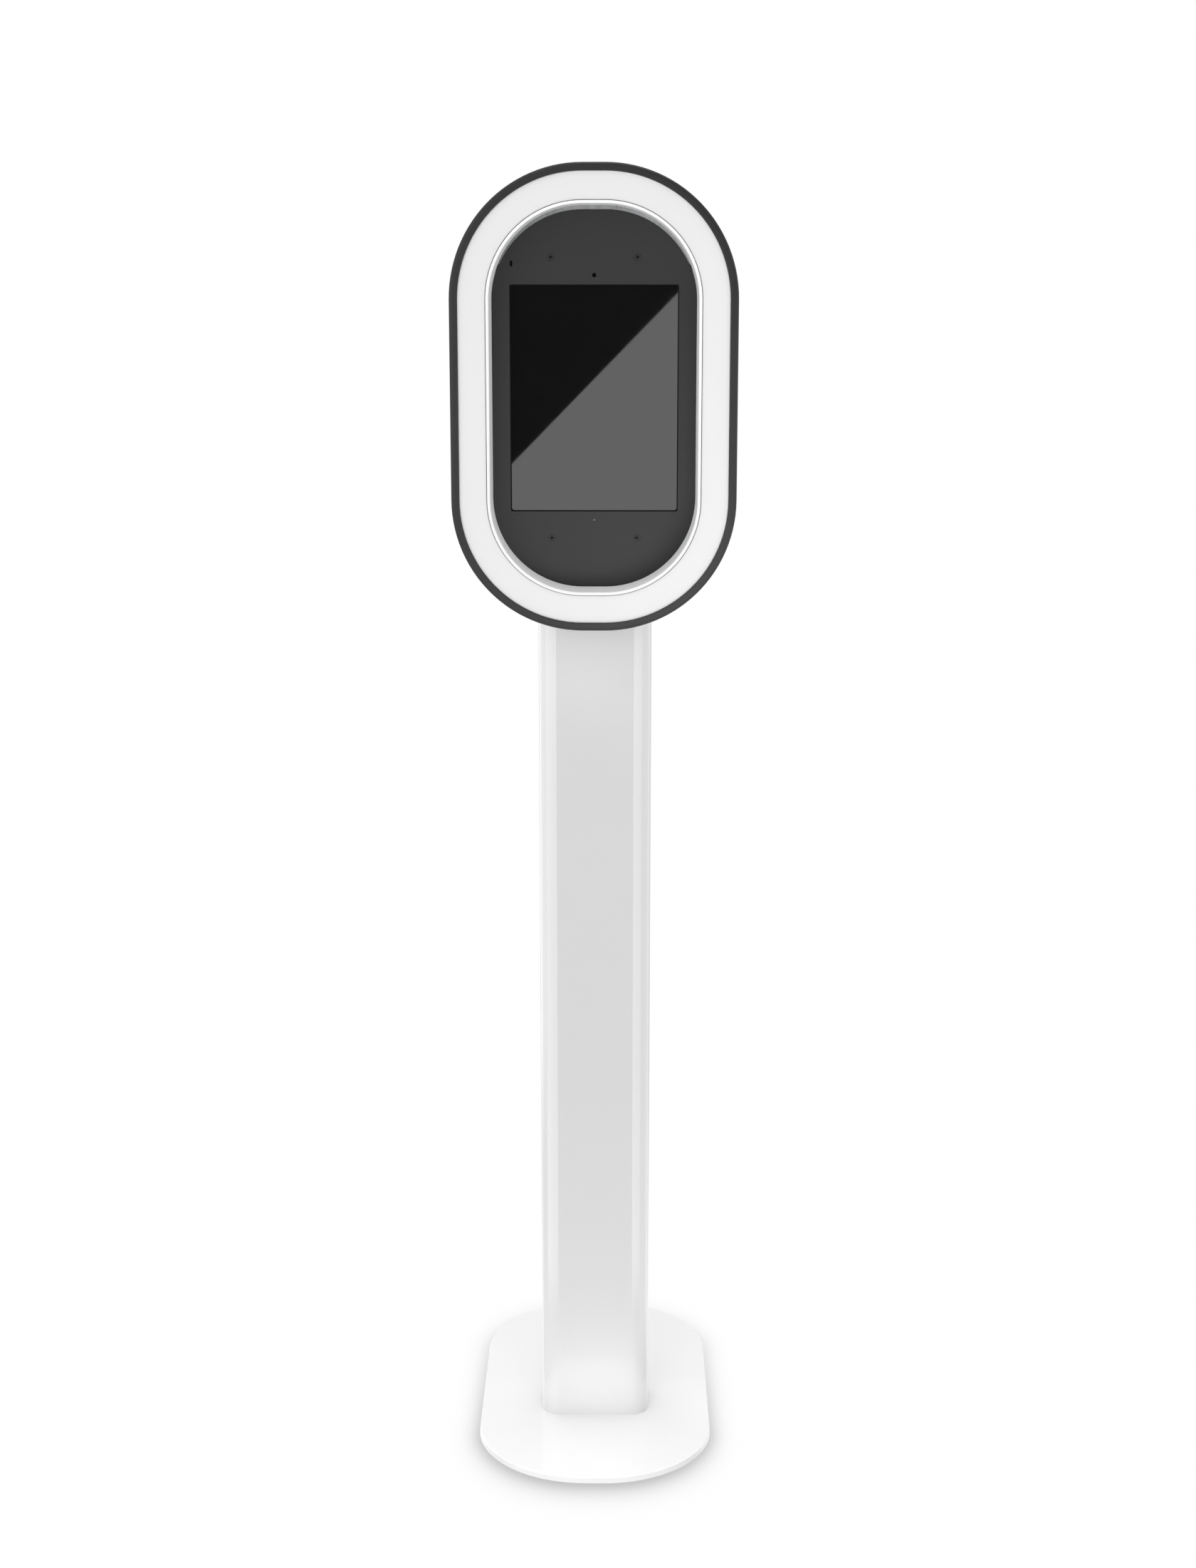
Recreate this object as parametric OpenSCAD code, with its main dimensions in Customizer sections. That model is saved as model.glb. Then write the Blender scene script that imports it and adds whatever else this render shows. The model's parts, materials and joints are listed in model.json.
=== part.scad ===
// Free-standing touchscreen kiosk with a ring-lit head.
// Millimetres, +Z up, the front faces -Y. The origin is on the floor under the middle of the base plate.

/* [Base] */
// Width of the base plate
base_w = 299; // [290:1:320]
// Length of the base plate, front to back
base_d = 507; // [480:1:540]
// Corner radius of the base plate
base_r = 138.5; // [120:0.5:142]
// Thickness of the base plate
base_t = 8; // [6:1:10]
// Thickness of the non-slip mat under the plate
mat_t = 1; // [1:0.5:2]

/* [Post] */
// Width of the post
post_w = 139; // [130:1:150]
// Depth of the post, front to back
post_d = 80; // [76:1:90]
// Corner radius of the post
post_r = 22; // [15:1:25]
// Wall thickness of the post
post_wall = 3; // [2:0.5:4]
// Distance from the middle of the base plate forward to the post's front face
post_forward = 88; // [80:1:95]
// Height of the post's top above the tilt axis
post_above_axis = 60; // [55:1:80]

/* [Head] */
// Width of the head
head_w = 330.5; // [326:0.5:340]
// Height of the head
head_h = 531.6; // [526:0.2:540]
// Corner radius of the head's outline
head_r = 152.2; // [150:0.2:155]
// Depth of the head
head_depth = 90; // [90:1:96]
// Height of the head's centre above the floor
head_z = 1333.3; // [1300:0.1:1400]
// Width of the charcoal rim round the front
rim_w = 9.7; // [9:0.1:11]
// Width of the lit ring between the rim and the inner lip
ring_w = 32.1; // [31:0.1:33]
// Depth of the face plate's front below the rim
recess = 46; // [46:0.5:47]
// Clear gap between the head's back and the post
head_gap = 30; // [30:1:34]
// Number of light chips on the ring
light_count = 60; // [40:2:80]

/* [Screen] */
// Width of the screen window
window_w = 196.1; // [190:0.1:198]
// Height of the screen window
window_h = 261.4; // [255:0.1:264]
// Corner radius of the screen window
window_r = 2.5; // [1:0.5:4]
// Width of the tablet
tablet_w = 220.6; // [218:0.1:222]
// Height of the tablet
tablet_h = 305.7; // [300:0.1:306]
// Thickness of the tablet
tablet_t = 6.9; // [6.9:0.1:7.5]
// Height of the crescent gap over the face plate
plate_drop = 4.4; // [3:0.1:5]

/* [Tilt] */
// Radius of the tilt pin
pin_r = 5; // [4:0.5:6]
// Radial running clearance round the tilt pin
pin_clear = 0.05; // [0.03:0.01:0.1]

/* [Hidden] */
$fn = 96;
eps = 0.01;

// heights
plate_top = mat_t + base_t;
post_y = -post_forward;
axis_z = head_z;
post_top = axis_z + post_above_axis;

// depths inside the head, measured back from the rim's front
front_y = post_y - head_gap - head_depth;
axis_depth = head_depth + head_gap / 2;
axis_y = front_y + axis_depth;
shell = 3;
split = 58;
cover_gap = 0.3;
diffuser_depth = 2.5;
diffuser_t = 3;
diffuser_inset = 6.5;
lip_depth = 1;
lip_u = -(rim_w + ring_w);
reflector_depth = 30;
plate_t = 2.5;
plate_back = recess + plate_t;
chassis_depth = 49;
chassis_t = 2;
chassis_back = chassis_depth + chassis_t;
glass_depth = 49.5;
glass_t = 1;
tablet_back = glass_depth + tablet_t;
pad_t = 1;
tray_depth = tablet_back + pad_t;
tray_t = 1.5;
tray_back = tray_depth + tray_t;
cover_inner = head_depth - shell;

// places in the head's front view, from its centre
sensor_z = 141.2;
screw_x = 50;
screw_z = 161.5;
slot_x = -95.8;
slot_z = 154.3;
cover_inset = 22;
cover_round = 20;
arc = head_r - cover_inset;
cover_screw_places = concat(
    [for (sx = [-1, 1], sz = [-1, 1])
        [sx * (head_w / 2 - head_r + arc * cos(45)), sz * (head_h / 2 - head_r + arc * sin(45))]],
    [for (sx = [-1, 1], sz = [-60, 60]) [sx * (head_w / 2 - cover_inset), sz]]);
spacer_x = 117.5;
spacer_z = 140;

// lower part of the post
inlet_z = 120;
inlet_panel_w = 96;
inlet_panel_h = 56;
supply_z = 260;
lead_r = 3;
lead_hole_r = 9;

// ---- shapes used by several pieces ----

// rounded rectangle, centred
module rounded(w, h, r) {
    square([w - 2 * r, h], center = true);
    square([w, h - 2 * r], center = true);
    for (sx = [-1, 1], sy = [-1, 1])
        translate([sx * (w / 2 - r), sy * (h / 2 - r)]) circle(r);
}

// the head's outline moved inwards by inset
module head_outline(inset) {
    rounded(head_w - 2 * inset, head_h - 2 * inset, head_r - inset);
}

// places children in the head: x right, y up, z towards the viewer, with 0 at the rim's front
module in_head() {
    translate([0, front_y, head_z]) rotate([90, 0, 0]) children();
}

// plate in the head, from one depth to a larger one, with a 2D front view as its child
module slab(from, to) {
    in_head() translate([0, 0, -to]) linear_extrude(to - from) children();
}

// round bar in the head along its depth
module head_rod(x, z, r, from, to) {
    in_head() translate([x, z, -to]) cylinder(r = r, h = to - from);
}

// block in the head, centred on x and z, from one depth to a larger one
module head_block(x, z, w, h, from, to) {
    slab(from, to) translate([x, z]) square([w, h], center = true);
}

// carries a section round a rounded rectangle; the section's x is measured outwards from the
// outline and its y is along Z
module round_outline(w, h, r) {
    flat_w = w - 2 * r;
    flat_h = h - 2 * r;
    for (turn = [0, 90, 180, 270]) {
        across = turn % 180 == 0;
        rotate([0, 0, turn])
            translate([-(across ? flat_w : flat_h) / 2, (across ? h : w) / 2, 0])
                rotate([90, 0, 90]) linear_extrude(across ? flat_w : flat_h) children();
    }
    for (corner = [[1, 1, 0], [-1, 1, 90], [-1, -1, 180], [1, -1, 270]])
        translate([corner[0] * flat_w / 2, corner[1] * flat_h / 2, 0])
            rotate([0, 0, corner[2]])
                rotate_extrude(angle = 90) translate([r, 0]) children();
}

// the same round the head's outline, where the section's y is minus the depth
module round_head() {
    in_head() round_outline(head_w, head_h, head_r) children();
}

// countersunk screw in local axes: its flat head's top is at z = 0 and it points along -z
module flat_screw(head_r, shank_r, length, recess_w = 0) {
    difference() {
        union() {
            translate([0, 0, -(head_r - shank_r)])
                cylinder(r1 = shank_r, r2 = head_r, h = head_r - shank_r);
            translate([0, 0, -length]) cylinder(r = shank_r, h = length - (head_r - shank_r) + eps);
        }
        if (recess_w > 0)
            for (turn = [0, 90])
                rotate([0, 0, turn]) cube([recess_w, recess_w / 4, 2.4], center = true);
    }
}

// ---- base and post ----

module base_outline(inset) {
    rounded(base_w - 2 * inset, base_d - 2 * inset, base_r - inset);
}

base_edge = 1.6;
foot_x = 45;
foot_dy = 20;
foot_t = 12;
foot_y = post_y + post_d / 2;
foot_places = [for (sx = [-1, 1], sy = [-1, 1]) [sx * foot_x, foot_y + sy * foot_dy]];
foot_head_r = 10;
foot_shank_r = 5;

module base_plate() {
    color("white") difference() {
        union() {
            translate([0, 0, mat_t]) linear_extrude(base_t - base_edge) base_outline(0);
            translate([0, 0, mat_t]) linear_extrude(base_t) base_outline(base_edge);
            translate([0, 0, plate_top - base_edge]) round_outline(base_w, base_d, base_r)
                translate([-base_edge, 0]) circle(base_edge);
        }
        for (place = foot_places) translate([place[0], place[1], mat_t]) {
            translate([0, 0, -eps]) cylinder(r1 = foot_head_r + 0.3, r2 = foot_shank_r + 0.3, h = 5);
            cylinder(r = foot_shank_r + 0.3, h = base_t + 1);
        }
    }
}

module base_mat() {
    color("dimgray") linear_extrude(mat_t) base_outline(4);
}

module foot_block() {
    color("silver") difference() {
        translate([0, foot_y, plate_top]) linear_extrude(foot_t)
            rounded(post_w - 2 * post_wall - 1, post_d - 2 * post_wall - 1, post_r - post_wall - 0.5);
        for (place = foot_places)
            translate([place[0], place[1], plate_top - 1]) cylinder(r = foot_shank_r, h = foot_t + 2);
    }
}

module foot_bolts() {
    color("silver") for (place = foot_places)
        translate([place[0], place[1], mat_t + 0.2]) mirror([0, 0, 1])
            flat_screw(foot_head_r, foot_shank_r, base_t + foot_t - 1);
}

module post_outline(inset) {
    translate([0, post_y + post_d / 2])
        rounded(post_w - 2 * inset, post_d - 2 * inset, post_r - inset);
}

bracket_bolt_x = 41;
bracket_bolt_z = 40;
bracket_places = [for (sx = [-1, 1], sz = [-1, 1]) [sx * bracket_bolt_x, axis_z + sz * bracket_bolt_z]];
bracket_bolt_r = 3;

// rod along Y between two places, used for bolts and their holes
module y_rod(x, z, r, from, to) {
    translate([x, to, z]) rotate([90, 0, 0]) cylinder(r = r, h = to - from);
}

module post_tube() {
    color("white") difference() {
        translate([0, 0, plate_top]) linear_extrude(post_top - plate_top) difference() {
            post_outline(0);
            post_outline(post_wall);
        }
        for (place = bracket_places)
            y_rod(place[0], place[1], bracket_bolt_r + 0.2, post_y - 1, post_y + post_wall + 1);
        y_rod(0, axis_z, lead_hole_r, post_y - 1, post_y + post_wall + 1);
        translate([-38, post_y + post_d - post_wall - 1, inlet_z - 18]) cube([76, post_wall + 2, 36]);
        for (sx = [-1, 1], sz = [-1, 1])
            y_rod(sx * inlet_screw_x, inlet_z + sz * inlet_screw_z, 1.6,
                  post_y + post_d - post_wall - 1, post_y + post_d + 1);
    }
}

cap_t = 3;
cap_edge = 1.2;
module post_cap() {
    color("white") {
        translate([0, 0, post_top]) linear_extrude(cap_t - cap_edge) post_outline(0);
        translate([0, 0, post_top]) linear_extrude(cap_t) post_outline(cap_edge);
        translate([0, post_y + post_d / 2, post_top + cap_t - cap_edge])
            round_outline(post_w, post_d, post_r) translate([-cap_edge, 0]) circle(cap_edge);
        translate([0, 0, post_top - 12]) linear_extrude(12 + eps) difference() {
            post_outline(post_wall + 0.2);
            post_outline(post_wall + 2.2);
        }
    }
}

// grommet ring in a wall whose front face is at y
module grommet(y, wall, bore, outer) {
    translate([0, y, axis_z]) rotate([90, 0, 0]) difference() {
        union() {
            translate([0, 0, -wall - 1.5]) cylinder(r = outer - 0.1, h = wall + 3);
            for (z = [-wall - 1.5, 0]) translate([0, 0, z]) cylinder(r = outer + 2, h = 1.5);
        }
        translate([0, 0, -wall - 3]) cylinder(r = bore, h = wall + 6);
    }
}

module post_grommet() {
    color("black") grommet(post_y, post_wall, lead_r + 2, lead_hole_r);
}

// ---- power inlet at the foot of the post's back ----

inlet_y = post_y + post_d;
panel_t = 2;
socket_x = -20;
socket_w = 28;
socket_h = 20;
socket_depth = 16;
switch_x = 24;
switch_w = 22;
switch_h = 30;
inlet_screw_x = 42;
inlet_screw_z = 22;

module inlet_panel() {
    color("black") translate([0, inlet_y + panel_t, inlet_z]) rotate([90, 0, 0]) linear_extrude(panel_t)
        difference() {
            rounded(inlet_panel_w, inlet_panel_h, 4);
            translate([socket_x, 0]) rounded(socket_w, socket_h, 3);
            translate([switch_x, 0]) square([switch_w, switch_h], center = true);
            for (sx = [-1, 1], sz = [-1, 1])
                translate([sx * inlet_screw_x, sz * inlet_screw_z]) circle(1.7);
        }
}

module inlet_screws() {
    color("silver") for (sx = [-1, 1], sz = [-1, 1])
        translate([sx * inlet_screw_x, inlet_y + panel_t, inlet_z + sz * inlet_screw_z]) rotate([-90, 0, 0])
            difference() {
                union() {
                    cylinder(r = 3, h = 1.6);
                    translate([0, 0, -panel_t - 2.5]) cylinder(r = 1.5, h = panel_t + 2.6);
                }
                for (turn = [0, 90])
                    rotate([0, 0, turn]) translate([0, 0, 1.6]) cube([3.2, 0.8, 1.6], center = true);
            }
}

module power_inlet() {
    color("black") translate([socket_x, inlet_y + panel_t, inlet_z]) rotate([90, 0, 0]) difference() {
        translate([0, 0, 0.2]) linear_extrude(socket_depth) rounded(socket_w - 0.4, socket_h - 0.4, 3);
        translate([0, 0, -1]) linear_extrude(socket_depth - 1) rounded(socket_w - 5, socket_h - 5, 3);
        translate([0, 0, socket_depth - 3]) linear_extrude(5) pin_outlines();
    }
}

module pin_outlines() {
    for (pin = [[-6.5, -2], [6.5, -2], [0, 2.5]]) translate(pin) square([2, 4], center = true);
}

module inlet_pins() {
    color("silver") translate([socket_x, inlet_y + panel_t - 4, inlet_z]) rotate([90, 0, 0])
        linear_extrude(socket_depth) pin_outlines();
}

rocker_axis_y = inlet_y - 6;
module switch_frame() {
    color("black") translate([switch_x, inlet_y + panel_t + 2, inlet_z]) rotate([90, 0, 0]) difference() {
        union() {
            linear_extrude(2) rounded(switch_w + 3, switch_h + 3, 2);
            linear_extrude(22) square([switch_w - 0.4, switch_h - 0.4], center = true);
        }
        translate([0, 0, -1]) linear_extrude(20) square([switch_w - 4, switch_h - 4], center = true);
        translate([-(switch_w / 2 + 1), 0, 10]) rotate([0, 90, 0])
            cylinder(r = 1.55, h = switch_w + 2);
    }
}

// rocker with two flat paddles at a shallow angle; it rests with its lower end pressed in
rocker_tilt = 7;
module power_rocker() {
    color("darkred") translate([switch_x, rocker_axis_y, inlet_z]) rotate([-rocker_tilt, 0, 0]) {
        rotate([0, 90, 0]) cylinder(r = 1.5, h = switch_w - 1, center = true);
        rotate([90, 0, 90]) linear_extrude(switch_w - 5, center = true)
            polygon([[-3, -3], [-3, 3], [5, 11.2], [11, 11.2], [9, 0], [11, -11.2], [5, -11.2]]);
    }
}

supply_w = 76;
supply_d = 34;
supply_h = 150;
supply_y = post_y + post_d / 2;
module power_supply() {
    color("gray") translate([0, supply_y, supply_z]) linear_extrude(supply_h) rounded(supply_w, supply_d, 4);
}

// hat-shaped carrier welded to the inside of the post's front wall
module supply_bracket() {
    plate_y = supply_y - supply_d / 2 - 2;
    color("silver") {
        translate([-46, plate_y, supply_z - 2]) cube([92, 2, supply_h + 2]);
        translate([-38, plate_y, supply_z - 2]) cube([76, 22, 2]);
        for (x = [-46, 44]) translate([x, post_y + post_wall, supply_z - 2])
            cube([2, plate_y - post_y - post_wall + eps, supply_h + 2]);
    }
}

// lead from the pins at the inlet's back, round a bend and up into the supply
module mains_lead() {
    lead_y = inlet_y + panel_t - socket_depth - 14;
    color("dimgray") {
        translate([socket_x, lead_y, inlet_z + 10]) cylinder(r = lead_r, h = supply_z - inlet_z - 10);
        translate([socket_x, lead_y + 10, inlet_z + 10]) rotate([-90, 0, -90])
            rotate_extrude(angle = 90) translate([10, 0]) circle(lead_r);
    }
}

// lead from the supply up the post and out towards the tilt axis
supply_lead_bend = 14;
module supply_lead() {
    rise_y = axis_y + 3 + supply_lead_bend + 30;
    color("dimgray") {
        translate([0, rise_y, supply_z + supply_h])
            cylinder(r = lead_r, h = axis_z - supply_lead_bend - supply_z - supply_h);
        translate([0, rise_y - supply_lead_bend, axis_z - supply_lead_bend]) rotate([90, 0, 90])
            rotate_extrude(angle = 90) translate([supply_lead_bend, 0]) circle(lead_r);
        y_rod(0, axis_z, lead_r, axis_y + 3.3, rise_y - supply_lead_bend + eps);
        translate([0, axis_y + 3.3, axis_z]) sphere(lead_r);
    }
}

// ---- tilt joint ----

ear_r = 9.5;
inner_ear_x = 30;
inner_ear_t = 5;
outer_ear_x = 36;
outer_ear_t = 4;
bracket_t = 4;
tilt_plate_t = 3;

// ear normal to X, from x0 to x0 + t, reaching from the axis to the flat at y = root_y
module ear(x0, t, root_y, bore) {
    reach = abs(root_y - axis_y);
    side = sign(root_y - axis_y);
    difference() {
        union() {
            translate([x0, axis_y, axis_z]) rotate([0, 90, 0]) cylinder(r = ear_r, h = t);
            translate([x0, min(axis_y, root_y), axis_z - ear_r]) cube([t, reach, 2 * ear_r]);
        }
        translate([x0 - 1, axis_y, axis_z]) rotate([0, 90, 0]) cylinder(r = bore, h = t + 2);
    }
}

module tilt_bracket() {
    color("dimgray") difference() {
        union() {
            translate([-56, post_y - bracket_t, axis_z - 50]) cube([112, bracket_t, 100]);
            ear(outer_ear_x, outer_ear_t, post_y - bracket_t, pin_r + 0.02);
            ear(-outer_ear_x - outer_ear_t, outer_ear_t, post_y - bracket_t, pin_r + 0.02);
        }
        for (place = bracket_places)
            y_rod(place[0], place[1], bracket_bolt_r + 0.2, post_y - bracket_t - 1, post_y + 1);
        y_rod(0, axis_z, lead_hole_r + 3, post_y - bracket_t - 1, post_y + 1);
    }
}

module bracket_bolts() {
    color("silver") for (place = bracket_places) {
        y_rod(place[0], place[1], 5, post_y - bracket_t - 3, post_y - bracket_t);
        y_rod(place[0], place[1], bracket_bolt_r, post_y - bracket_t - 1, post_y + 12);
    }
}

module bracket_nuts() {
    color("silver") for (place = bracket_places) difference() {
        translate([place[0], post_y + post_wall + 5, place[1]]) rotate([90, 0, 0])
            cylinder(r = 5.5, h = 5, $fn = 6);
        y_rod(place[0], place[1], bracket_bolt_r, post_y, post_y + 12);
    }
}

// the two pins stop short of the middle, where the lead passes between the ears
pin_inner_x = 20;
module tilt_pins() {
    outer_x = outer_ear_x + outer_ear_t;
    color("silver") for (side = [0, 1]) translate([0, axis_y, axis_z]) mirror([side, 0, 0]) rotate([0, 90, 0]) {
        translate([0, 0, pin_inner_x]) cylinder(r = pin_r, h = outer_x - pin_inner_x + eps);
        translate([0, 0, outer_x]) cylinder(r = 8, h = 4);
    }
}

nut_t = 6;
module tilt_nuts() {
    nut_x = inner_ear_x - 0.3 - nut_t;
    color("silver") for (side = [0, 1]) translate([0, axis_y, axis_z]) mirror([side, 0, 0]) rotate([0, 90, 0])
        difference() {
            translate([0, 0, nut_x]) cylinder(r = 8.5, h = nut_t, $fn = 6);
            translate([0, 0, nut_x - 1]) cylinder(r = pin_r, h = nut_t + 2);
        }
}

module friction_washers() {
    thick = outer_ear_x - inner_ear_x - inner_ear_t - 0.2;
    color("goldenrod") for (x = [outer_ear_x - thick, -outer_ear_x]) difference() {
        translate([x, axis_y, axis_z]) rotate([0, 90, 0]) cylinder(r = 8.5, h = thick);
        translate([x - 1, axis_y, axis_z]) rotate([0, 90, 0]) cylinder(r = pin_r + 0.02, h = thick + 2);
    }
}

tilt_bolt_x = 46;
tilt_bolt_z = 46;
tilt_bolt_r = 2.5;
tilt_places = [for (sx = [-1, 1], sz = [-1, 1]) [sx * tilt_bolt_x, sz * tilt_bolt_z]];

module tilt_plate() {
    back_y = front_y + head_depth + tilt_plate_t;
    color("dimgray") difference() {
        union() {
            head_block(0, 0, 116, 116, head_depth, head_depth + tilt_plate_t);
            ear(inner_ear_x, inner_ear_t, back_y, pin_r + pin_clear);
            ear(-inner_ear_x - inner_ear_t, inner_ear_t, back_y, pin_r + pin_clear);
        }
        for (place = tilt_places)
            head_rod(place[0], place[1], tilt_bolt_r + 0.2, head_depth - 1, head_depth + tilt_plate_t + 1);
        head_rod(0, 0, lead_hole_r + 3, head_depth - 1, head_depth + tilt_plate_t + 1);
    }
}

module tilt_plate_bolts() {
    outer = head_depth + tilt_plate_t;
    color("silver") for (place = tilt_places) {
        head_rod(place[0], place[1], 4.5, outer, outer + 3);
        head_rod(place[0], place[1], tilt_bolt_r, cover_inner - 4, outer + 1);
        head_rod(place[0], place[1], 5, cover_inner - 4, cover_inner);
    }
}

// ---- head casing ----

boss_r = 5;
boss_front = 33;

// section of the front frame: a rounded rim and a side wall behind it
module frame_section() {
    outer_round = 4;
    inner_round = 1.5;
    rim_back = 8;
    difference() {
        union() {
            translate([-outer_round, -outer_round]) circle(outer_round);
            translate([-rim_w + inner_round, -inner_round]) circle(inner_round);
            translate([-rim_w + inner_round, -rim_back]) square([rim_w - inner_round - outer_round, rim_back]);
            translate([-rim_w, -rim_back]) square([rim_w / 2, rim_back - inner_round]);
            translate([-rim_w / 2, -rim_back]) square([rim_w / 2, rim_back - outer_round]);
            translate([-shell, -split]) square([shell, split - outer_round]);
        }
        translate([-rim_w - 1, -rim_back - 1])
            square([rim_w + 1 - diffuser_inset + 0.3, rim_back + 1 - diffuser_depth + 0.2]);
    }
}

module front_frame() {
    color([0.2, 0.2, 0.21]) difference() {
        union() {
            round_head() frame_section();
            intersection() {
                for (place = cover_screw_places) {
                    head_rod(place[0], place[1], boss_r, boss_front, chassis_depth);
                    corner_x = sign(place[0]) * (head_w / 2 - head_r);
                    straight = abs(place[1]) < 100;
                    corner_z = straight ? place[1] : sign(place[1]) * (head_h / 2 - head_r);
                    angle = atan2(place[1] - corner_z, place[0] - corner_x);
                    in_head() translate([place[0], place[1], -chassis_depth]) rotate([0, 0, angle])
                        translate([0, -1.5, 0]) cube([cover_inset, 3, chassis_depth - boss_front]);
                }
                slab(boss_front - 1, chassis_depth) head_outline(shell / 2);
            }
        }
        for (place = cover_screw_places)
            head_rod(place[0], place[1], 1.7, boss_front + 3, chassis_depth + 1);
    }
}

module cover_section() {
    difference() {
        union() {
            translate([-shell, -(head_depth - cover_round)])
                square([shell, head_depth - cover_round - split - cover_gap]);
            intersection() {
                translate([-cover_round, -(head_depth - cover_round)]) circle(cover_round);
                translate([-cover_round, -head_depth]) square(cover_round);
            }
        }
        translate([-cover_round, -(head_depth - cover_round)]) circle(cover_round - shell);
    }
}

vent_w = 3;
vent_l = 60;
module rear_cover() {
    color([0.2, 0.2, 0.21]) difference() {
        union() {
            round_head() cover_section();
            slab(cover_inner, head_depth) head_outline(cover_round);
            for (place = cover_screw_places)
                head_rod(place[0], place[1], boss_r, chassis_back + 0.2, cover_inner + 1);
        }
        for (place = cover_screw_places) {
            head_rod(place[0], place[1], 2.2, chassis_back - 1, head_depth + 1);
            in_head() translate([place[0], place[1], -head_depth - eps])
                cylinder(r1 = 4.4, r2 = 2.2, h = 2.2);
        }
        for (place = tilt_places)
            head_rod(place[0], place[1], tilt_bolt_r + 0.2, cover_inner - 1, head_depth + 1);
        head_rod(0, 0, lead_hole_r, cover_inner - 1, head_depth + 1);
        for (row = [-5:5], side = [-1, 1])
            slab(cover_inner - 1, head_depth + 1) translate([row * 10, side * 170])
                rounded(vent_w, vent_l, vent_w / 2 - eps);
    }
}

module cover_screws() {
    color("black") for (place = cover_screw_places)
        in_head() translate([place[0], place[1], -head_depth + 0.1]) mirror([0, 0, 1])
            flat_screw(4, 1.6, head_depth - boss_front - 8, 3.6);
}

module cover_grommet() {
    color("black") grommet(front_y + cover_inner, shell, lead_r + 2, lead_hole_r);
}

// ---- ring light ----

module diffuser_ring() {
    color("whitesmoke") slab(diffuser_depth, diffuser_depth + diffuser_t) difference() {
        head_outline(diffuser_inset);
        head_outline(-lip_u - 0.4);
    }
}

// lip and wall of the recess, drafted by one millimetre
module bezel_section() {
    lip_in = lip_u - 3.5;
    back_in = lip_u - 4.7;
    outer = lip_u - 1.2;
    edge = 1.6;
    union() {
        translate([lip_in + edge, -lip_depth - edge]) circle(edge);
        polygon([
            [lip_in + edge, -lip_depth], [lip_u, -lip_depth], [lip_u, -6], [outer, -6],
            [outer, -chassis_depth], [outer - 1.6, -chassis_depth], [outer - 1.6, -recess],
            [back_in, -recess + 1], [lip_in, -lip_depth - edge]]);
    }
}

module inner_bezel() {
    color("white") round_head() bezel_section();
}

module reflector_tray() {
    floor_t = 1.5;
    inner_u = -lip_u - 2.2;
    wall_front = diffuser_depth + diffuser_t + 0.2;
    color("white") {
        slab(reflector_depth, reflector_depth + floor_t) difference() {
            head_outline(diffuser_inset);
            head_outline(inner_u);
        }
        slab(wall_front, reflector_depth + eps) difference() {
            head_outline(diffuser_inset);
            head_outline(diffuser_inset + 1.5);
        }
        slab(wall_front, reflector_depth + eps) difference() {
            head_outline(inner_u - 1.5);
            head_outline(inner_u);
        }
    }
}

board_t = 1.6;
chip_t = 1.4;
module light_board() {
    color("ivory") slab(reflector_depth - board_t - 0.2, reflector_depth - 0.2) difference() {
        head_outline(9);
        head_outline(36);
    }
}

// place and direction at distance s along the middle of the ring
function ring_place(s, w, h, r) =
    let (fw = w - 2 * r, fh = h - 2 * r, quarter = PI * r / 2,
         lengths = [fw, quarter, fh, quarter, fw, quarter, fh, quarter],
         starts = [for (i = 0, total = 0; i < 8; total = total + lengths[i], i = i + 1) total],
         part = max([for (i = [0:7]) if (s >= starts[i]) i]),
         t = s - starts[part],
         side = floor(part / 2),
         sx = [1, 1, -1, -1][side], sz = [1, -1, -1, 1][side],
         a = 90 - 90 * side - (part % 2 == 1 ? t / quarter * 90 : 0))
    part % 2 == 1 ? [sx * fw / 2 + r * cos(a), sz * fh / 2 + r * sin(a), a]
    : part == 0 ? [-fw / 2 + t, h / 2, a]
    : part == 2 ? [w / 2, fh / 2 - t, a]
    : part == 4 ? [fw / 2 - t, -h / 2, a]
    : [-w / 2, -fh / 2 + t, a];

module light_chips() {
    inset = rim_w + ring_w / 2;
    w = head_w - 2 * inset;
    h = head_h - 2 * inset;
    r = head_r - inset;
    total = 2 * (w + h) - 8 * r + 2 * PI * r;
    front = reflector_depth - board_t - 0.2 - chip_t;
    color("gold") for (i = [0:light_count - 1]) {
        p = ring_place((i + 0.5) * total / light_count, w, h, r);
        in_head() translate([p[0], p[1], -front - chip_t]) rotate([0, 0, p[2]])
            linear_extrude(chip_t) square(5, center = true);
    }
}

// ---- face plate and chassis ----

plate_w = head_w - 2 * (-lip_u + 4.7) + 0.8;
plate_r = head_r + lip_u - 4.7;
plate_bottom = -(head_h / 2 + lip_u - 4.7) - 0.4;
plate_top_z = head_h / 2 + lip_u - 4.7 - plate_drop;
plate_h = plate_top_z - plate_bottom;

module chassis_plate() {
    color("lightgray") slab(chassis_depth, chassis_back) difference() {
        head_outline(4.5);
        rounded(tablet_w + 6, tablet_h + 6, 10);
        for (place = cover_screw_places) translate(place) circle(2.2);
        for (sx = [-1, 1], sz = [-1, 1]) {
            translate([sx * screw_x, sz * screw_z]) circle(4.2);
            translate([sx * spacer_x, sz * spacer_z]) circle(1.7);
        }
    }
}

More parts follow.
